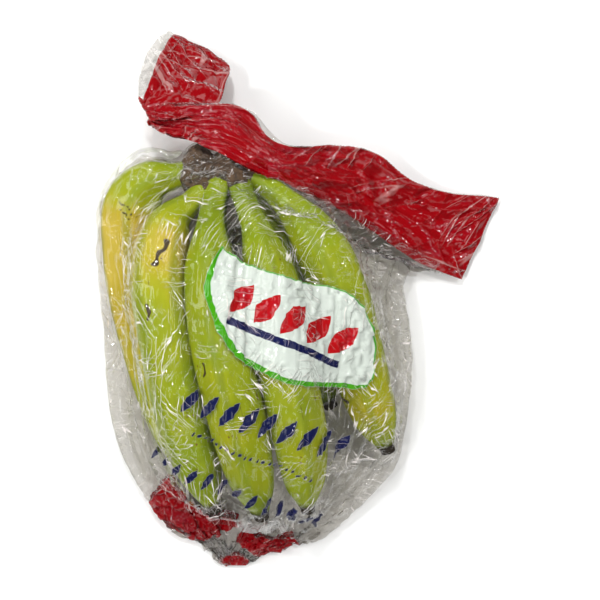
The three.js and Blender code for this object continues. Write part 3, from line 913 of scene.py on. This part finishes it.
def settle(points, slack, passes, forces, hold, closed=True):
    """Relaxes a film: each link is drawn to its own length times its slack, in turns with forces on the points.

    A link that skips a point only pushes, which rounds a fold. hold is how firmly each point is kept.
    """
    start = points.copy()
    rests = []
    for (rows, columns), stretch in zip(LINKS, slack):
        rests.append(np.linalg.norm(link(points, rows, columns), axis=-1) * stretch[: len(points) - rows])
    for _ in range(passes):
        total = np.zeros_like(points)
        for (rows, columns), rest in zip(LINKS, rests):
            between = link(points, rows, columns)
            length = np.linalg.norm(between, axis=-1)
            excess = length - rest
            weight = 0.26
            if rows == 2 or columns == 2:
                excess = np.minimum(length - 0.8 * rest, 0)
                weight = 0.12
            pull = between * (weight * excess / np.maximum(length, 1e-3))[..., None]
            if not closed and columns:
                pull[:, (slice(-columns, None) if columns > 0 else slice(0, 1))] = 0
            total[: len(points) - rows] += pull
            total[rows:] -= np.roll(pull, columns, axis=1)
        points = forces(points + total)
        points += (start - points) * hold[..., None]
    return points


def finer(points, rows, columns):
    """A closed grid again with more rows and columns, on Catmull-Rom curves through the old ones."""
    down = through(points, np.linspace(0, len(points) - 1, rows))
    wrapped = np.concatenate([down[:, -1:], down, down[:, :2]], axis=1).transpose(1, 0, 2)
    at = np.arange(columns) * (points.shape[1] / columns) + 1
    return through(wrapped, at).transpose(1, 0, 2)


def grid_normals(points, closed=True):
    """The outward direction at each point of a grid whose rows go towards the mouth."""
    along_rows = np.gradient(points, axis=0)
    if closed:
        along_columns = np.roll(points, -1, axis=1) - np.roll(points, 1, axis=1)
    else:
        along_columns = np.gradient(points, axis=1)
    return unit(np.cross(along_columns, along_rows))


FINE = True
FILM_ROWS, FILM_COLUMNS = (268, 364) if FINE else (134, 182)


BAND_ROWS, BAND_COLUMNS = (66, 330) if FINE else (34, 166)


def band_sheet(field):
    """The band's middle surface: through its lines, creased along slants, then relaxed over the crown."""
    lines = np.array(BAND_LINES, float).reshape(len(BAND_LINES), 6)[::-1]
    both = spline(lines, BAND_COLUMNS)
    rows = np.linspace(0, 1, BAND_ROWS)[:, None, None]
    points = both[None, :, :3] * (1 - rows) + both[None, :, 3:] * rows
    run = np.linspace(0, 330, BAND_COLUMNS)[None, :] * np.ones((BAND_ROWS, 1))
    out = np.linspace(0, BAND_WIDTH, BAND_ROWS)[:, None] * np.ones((1, BAND_COLUMNS))
    bend = 0.0
    for degrees, size, depth, seed in ((20, 38, 2.4, 81), (-35, 30, 1.8, 82), (70, 26, 1.3, 83), (5, 12, 0.35, 84)):
        angle = math.radians(degrees)
        flat = np.stack([run * math.cos(angle) + out * math.sin(angle), out * math.cos(angle) - run * math.sin(angle)], -1)
        bend = bend + depth * crease(flat * [0.4, 1.0], size, seed, 1.6) - 0.4 * depth
    points = points + grid_normals(points, False) * bend[..., None]

    def forces(at):
        distance, away = field.look(at)
        at = at + away * np.maximum(2.0 - distance, 0)[..., None]
        at[..., 2] = np.maximum(at[..., 2] - 0.01, 1.6)
        return at

    slack = [factor * np.ones(points.shape[:2]) for factor in (1.02, 1.02, 1.02, 1.02, 1.0, 1.0)]
    return settle(points, slack, 70, forces, np.full(points.shape[:2], 0.01), closed=False)


def band_film(sheet):
    """The band as a flat tube: the sheet's two sides, a little apart, joined where they meet at its ends."""
    out = grid_normals(sheet, False)
    columns = np.arange(BAND_COLUMNS)
    apart = 0.6 * np.clip(np.minimum(columns, columns[::-1]) / 6, 0, 1)[:, None]
    over = sheet + out * (apart + 0.35 * crease(sheet, 12, 91)[..., None] * apart)
    under = sheet - out * (apart + 0.35 * crease(sheet, 12, 92)[..., None] * apart)
    return np.concatenate([over, under[:, ::-1]], axis=1)


def bag_film(field, mouth):
    """The bag's clear part: drawn taut, given its spare width, and let down on the fruit at three sizes of grid.

    The spare width is what the flat tube has over the taut ring, up to a quarter, so it buckles into folds
    where the bag is gathered. Returns the grid, and where each point lay in plan when the film was taut.
    """
    fruit = np.concatenate([grid[::2, ::3].reshape(-1, 3) for grid in finger_grids.values()])
    lobes = [np.array(middle) + [[0, 0, half[2]]] for middle, half in CROWN_LOBES]
    fruit = np.vstack([fruit, *lobes])
    rows, columns = FILM_ROWS // 4 + 1, FILM_COLUMNS // 4 // 2 * 2
    points = taut_bag(rows, columns, fruit, mouth)
    plan = points.copy()
    ring_length = np.linalg.norm(link(points, 0, 1), axis=-1).sum(axis=1)
    spare = np.clip(FILM_AROUND / ring_length, 1.02, 1.16)[:, None] * np.ones(columns)
    for level in range(3):
        rows, columns = points.shape[:2]
        upper = np.arange(columns) < columns // 2
        share = np.linspace(0, 1, rows)[:, None] * np.ones(columns)
        around = np.arange(columns)[None, :] / columns * np.ones((rows, 1))
        ends = np.minimum(np.arange(rows), np.arange(rows)[::-1])[:, None]
        seam = np.minimum(np.arange(columns) % (columns // 2), -np.arange(columns) % (columns // 2))[None, :]
        hold = np.where(ends < 1, 1.0, 0.0) + np.where(seam < 2**level, 0.06, 0.0)
        hold = np.clip(hold + np.where(upper, 0.0, 0.08), 0, 1)
        flat = np.stack([around * FILM_AROUND, share * 130.0], axis=-1)
        long_folds = ripple(flat, 20 / 2**level, 31 + level) + crease(flat, 16 / 2**level, 41 + level)
        seeds = ripple(points, 30 / 2**level, 51 + level)
        gathered = np.clip(np.abs(share - 0.4) * 2.2 - 0.35, 0, 1)
        bend = 0.9 / 2**level * (0.35 * seeds + long_folds * (0.35 + 1.4 * gathered))
        points = points + grid_normals(points) * (bend * np.minimum(ends / 3, 1))[..., None]

        def forces(at, is_upper=upper, shrink=0.02 / (level + 1)):
            distance, away = field.look(at)
            room = distance - FILM_CLEARANCE
            draw = np.clip(room, 0, 6) / 6 * shrink * np.where(room < 38, 1, 0)
            at = at - away * draw[..., None]
            at = at + away * np.maximum(-room, 0)[..., None]
            floor = np.where(is_upper, 2.2, TABLE_LIFT)
            at[..., 2] = np.maximum(at[..., 2] - 0.01, floor)
            return at

        if level == 0:
            slack = [spare, 1.02, (1 + spare) / 2, (1 + spare) / 2, spare, 1.02]
        else:
            slack = [1.01, 1.005, 1.01, 1.01, 1.0, 1.0]
        slack = [factor * np.ones((rows, columns)) for factor in slack]
        points = settle(points, slack, (260, 110, 46)[level], forces, hold)
        if level < 2:
            bigger = (rows * 2 - 1, columns * 2) if level == 0 else (FILM_ROWS, FILM_COLUMNS)
            points = finer(points, *bigger)
            plan = finer(plan, *bigger)
    rows, columns = points.shape[:2]
    share = np.linspace(0, 1, rows)[:, None] * np.ones(columns)
    around = np.arange(columns)[None, :] / columns * np.ones((rows, 1))
    flat = np.stack([around * FILM_AROUND, share * 380.0], axis=-1)
    crumple = 0.0
    for degrees, size, depth, seed in ((4, 12, 0.35, 61), (38, 9, 0.25, 62), (-50, 8, 0.25, 63)):
        angle = math.radians(degrees)
        turn = np.array([[math.cos(angle), math.sin(angle)], [-math.sin(angle), math.cos(angle)]])
        crumple = crumple + depth * crease(flat @ turn.T * [1.0, 0.25], size, seed, 2.0)
    foot = np.clip(1 - share / 0.2, 0, 1)
    crumple = crumple * (0.4 + 0.6 * np.clip(ripple(points, 60, 64), 0, 1)) + foot * 1.2 * crease(points, 13, 65)
    points = points + grid_normals(points) * (crumple * np.minimum(ends / 3, 1))[..., None]
    distance, away = field.look(points)
    points = points + away * np.maximum(0.3 - distance, 0)[..., None]
    points[..., 2] = np.maximum(points[..., 2], 0.15)
    return points, plan


# ---- Print ----


def outline_depth(plan, outline):
    """How far inside a closed outline a place is, in mm, and less than nothing outside it."""
    outline = evenly(through([*outline, outline[0]], np.linspace(0, len(outline), 12 * len(outline))), 48)
    at = plan[..., :2].reshape(-1, 2)
    near = np.full(len(at), 1e6)
    winds = np.zeros(len(at), dtype=bool)
    for start, end in zip(outline, np.roll(outline, -1, axis=0)):
        side = end - start
        part = np.clip((at - start) @ side / max(side @ side, 1e-9), 0, 1)
        near = np.minimum(near, np.linalg.norm(at - start - part[:, None] * side, axis=1))
        crosses = (start[1] > at[:, 1]) != (end[1] > at[:, 1])
        level = side[1] if side[1] != 0 else 1e-9
        winds ^= crosses & (at[:, 0] < start[0] + (at[:, 1] - start[1]) * side[0] / level)
    return np.where(winds, near, -near).reshape(plan.shape[:-1])


# The label's outline, and those of the red print on the gathered foot
PANEL = (
    (4, -58), (-5, -86), (1, -106), (12, -126), (29, -139), (52, -148), (78, -151), (100, -153),
    (107, -139), (108, -119), (104, -105), (93, -91), (78, -84), (58, -81), (33, -74), (16, -66),
)
FOOT_PRINTS = (
    ((-51, -238), (-42, -222), (-34, -217), (-28, -236), (-12, -240), (14, -247), (4, -256), (-18, -265), (-42, -252)),
    ((12, -262), (18, -270), (33, -277), (58, -268), (50, -259), (40, -262), (20, -256)),
    ((2, -277), (6, -282), (17, -285), (20, -279), (12, -275)),
)


def film_print(made, plan, upper, band):
    """Puts the film's print on it, each as how far inside the print a point is."""
    outside = np.where(upper, 0.0, -50.0)
    panel = outline_depth(plan, PANEL) + outside
    inner = outline_depth(plan - [2.6, 2.0, 0.0][: plan.shape[-1]], PANEL) + outside
    for print_name, depth in (
        ("rim", panel),
        ("panel", np.minimum(panel, inner) - 0.8),
        ("band", band),
    ):
        attribute(made, print_name, depth.ravel())
    flat = np.where(upper[..., None], plan, 1e4).reshape(-1, plan.shape[-1])
    attribute(made, "flat", np.column_stack([flat[:, :2], np.zeros(len(flat))]) * MM)
    attribute(made, "under", np.where(upper, 0.0, 1.0).ravel())


field = FruitField()
sheet = band_sheet(field)
# The clear part of the bag leaves the band from over the crown to its right end
crown_side = np.linalg.norm(sheet[0] - np.array(BAND_LINES[7][0]), axis=-1).argmin()
bag_points, bag_plan = bag_film(field, sheet[BAND_ROWS // 9, crown_side:])
bag_rows, bag_columns = bag_points.shape[:2]
bag = mesh_object(
    "film_bag", bag_points.reshape(-1, 3), grid_faces(bag_rows, bag_columns, True).tolist(), FILM
)
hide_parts("bag")
is_upper = np.broadcast_to(np.arange(bag_columns) <= bag_columns // 2, (bag_rows, bag_columns))
foot_print = np.max([outline_depth(bag_plan, outline) for outline in FOOT_PRINTS], axis=0)
film_print(bag, bag_plan, is_upper, foot_print)
bag_around = np.arange(bag_columns)[None, :] / bag_columns * FILM_AROUND * np.ones((bag_rows, 1))
bag_along = np.linspace(0, 380, bag_rows)[:, None] * np.ones((1, bag_columns))
uv_map(bag, np.stack([bag_around, bag_along], axis=-1).reshape(-1, 2) * MM)

band_points = band_film(sheet)
band = mesh_object(
    "film_band", band_points.reshape(-1, 3), grid_faces(BAND_ROWS, 2 * BAND_COLUMNS, True).tolist(), BAND
)
band_run = np.linspace(0, 330, BAND_COLUMNS)
band_run = np.concatenate([band_run, band_run[::-1]])[None, :] * np.ones((BAND_ROWS, 1))
band_out = np.linspace(0, BAND_WIDTH, BAND_ROWS)[:, None] * np.ones((1, 2 * BAND_COLUMNS))
uv_map(band, np.stack([band_run, band_out], axis=-1).reshape(-1, 2) * MM)
lip = 0.6 + 6.5 * np.exp(-(((band_run - 118) / 12) ** 2)) + 6.0 * np.exp(-(((band_run - 166) / 11) ** 2))
lip = np.where(band_run < 82, 9.5, lip)
band_depth = np.minimum(BAND_WIDTH - band_out - lip, band_out + 0.5)
far = np.full(band_points.shape[:2] + (2,), 1e4)
is_over = np.broadcast_to(np.arange(2 * BAND_COLUMNS) < BAND_COLUMNS, band_points.shape[:2])
film_print(band, far, is_over, band_depth)


# ---- Stage ----

floor_mesh = bpy.data.meshes.new("floor")
floor_mesh.from_pydata([(-3, -3, 0), (3, -3, 0), (3, 3, 0), (-3, 3, 0)], [], [(0, 1, 2, 3)])
floor = bpy.data.objects.new("floor", floor_mesh)
bpy.context.collection.objects.link(floor)
floor_material, floor_tree = new_material("pale_paper")
floor_shader = node(floor_tree, "ShaderNodeBsdfPrincipled", {"Base Color": linear("#FAFAF9"), "Roughness": 0.9})
node(floor_tree, "ShaderNodeOutputMaterial", {"Surface": floor_shader.outputs[0]})
floor_mesh.materials.append(floor_material)

# (name, place, watts, size): soft lamps low enough that flat film doesn't mirror them up to the camera, and
# small ones that make the glints on its creases
LAMPS = [
    ("soft_left", (-1.0, 0.2, 1.0), 7.2, 0.7),
    ("soft_right", (1.0, 0.1, 1.0), 1.8, 0.7),
    ("soft_mouth", (-0.1, 1.0, 1.0), 5.0, 0.7),
    ("soft_foot", (0.1, -1.0, 1.0), 3.6, 0.7),
    ("glint_left", (-0.62, -0.3, 1.3), 5.2, 0.09),
    ("glint_right", (0.6, 0.45, 1.3), 5.2, 0.09),
    ("glint_mouth", (-0.15, 0.75, 1.2), 5.2, 0.09),
]
for lamp_name, lamp_place, watts, lamp_size in LAMPS:
    lamp_data = bpy.data.lights.new(lamp_name, "AREA")
    lamp_data.energy = watts * 1.08
    lamp_data.size = lamp_size
    lamp = bpy.data.objects.new(lamp_name, lamp_data)
    lamp.location = lamp_place
    aim = np.array([0.0, 0.0, 0.04]) - np.array(lamp_place)
    lamp.rotation_euler = (math.acos(-aim[2] / np.linalg.norm(aim)), 0, math.atan2(aim[0], -aim[1]) + math.pi)
    bpy.context.collection.objects.link(lamp)

world = bpy.data.worlds.new("studio")
world.use_nodes = True
world.node_tree.nodes["Background"].inputs["Color"].default_value = (1.0, 1.0, 1.0, 1.0)
world.node_tree.nodes["Background"].inputs["Strength"].default_value = 0.12
bpy.context.scene.world = world
bpy.context.scene.view_settings.view_transform = "Standard"
